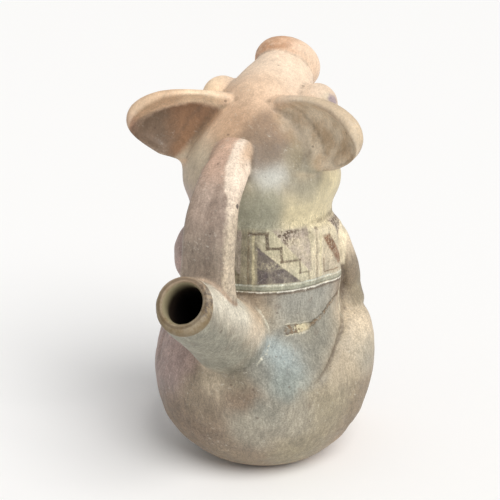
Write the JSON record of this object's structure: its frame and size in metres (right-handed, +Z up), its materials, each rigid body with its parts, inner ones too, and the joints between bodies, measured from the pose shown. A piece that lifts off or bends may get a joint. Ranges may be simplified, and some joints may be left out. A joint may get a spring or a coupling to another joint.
{
  "type": "zoomorphic vessel",
  "caption": "Hollow clay vessel in the form of a seated animal, with a flared pouring spout and a strap handle behind and a painted band round its body.",
  "frame": {"origin": "centre of the flat base", "axes": "+Z up, the animal faces -Y with its spout and handle towards +Y, and its right side is -X"},
  "size_m": [0.1378, 0.1874, 0.2459],
  "materials": {
    "warm_clay": "matte",
    "grey_clay": "matte",
    "dark_clay": "matte",
    "cream_slip": "matte"
  },
  "bodies": {
    "root": {"lower_body": "grey_clay", "torso": "cream_slip", "head": "warm_clay", "muzzle": "warm_clay", "nose_disc": "warm_clay", "spout": "grey_clay", "handle": "warm_clay", "left_ear": "dark_clay", "left_eye": "warm_clay", "left_arm": "warm_clay", "left_leg": "warm_clay", "left_foot": "warm_clay", "right_ear": "dark_clay", "right_eye": "warm_clay", "right_arm": "warm_clay", "right_leg": "warm_clay", "right_foot": "warm_clay"}
  },
  "joints": []
}
